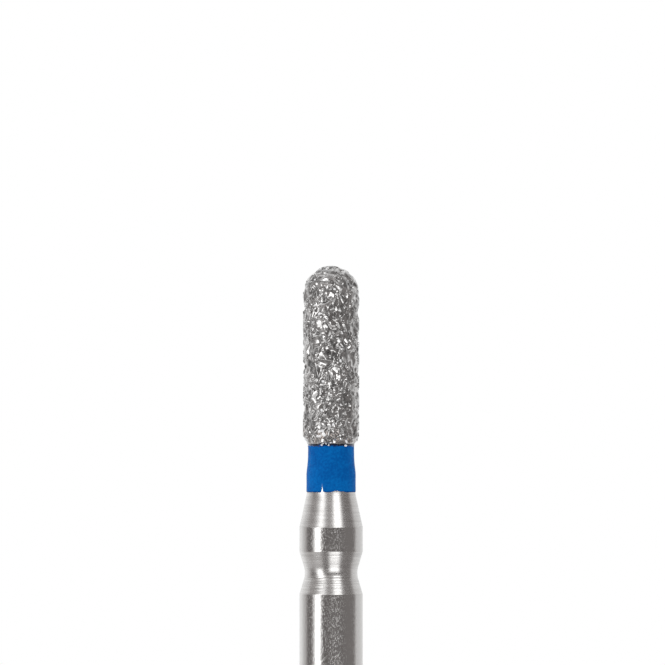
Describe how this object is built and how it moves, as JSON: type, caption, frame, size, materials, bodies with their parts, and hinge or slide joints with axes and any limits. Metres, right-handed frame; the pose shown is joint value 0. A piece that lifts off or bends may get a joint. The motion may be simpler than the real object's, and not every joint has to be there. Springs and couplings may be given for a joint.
{
  "type": "dental diamond bur",
  "caption": "Dental diamond bur: a turned steel shank with a retention groove, a blue grit band and a round-ended cylinder head coated with diamond grains.",
  "frame": {"origin": "centre of the flat end of the shank", "axes": "+Z along the bur's axis, from the shank's end to the cutting tip"},
  "size_m": [0.0016, 0.0016, 0.019],
  "materials": {
    "turned_steel": "bright turned and ground stainless steel",
    "blue_lacquer": "glossy lacquer",
    "diamond_grit": "rough diamond grains held in satin nickel plating"
  },
  "bodies": {
    "root": {"steel_blank": "turned_steel", "grit_band": "blue_lacquer", "diamond_coat": "diamond_grit"}
  },
  "joints": []
}
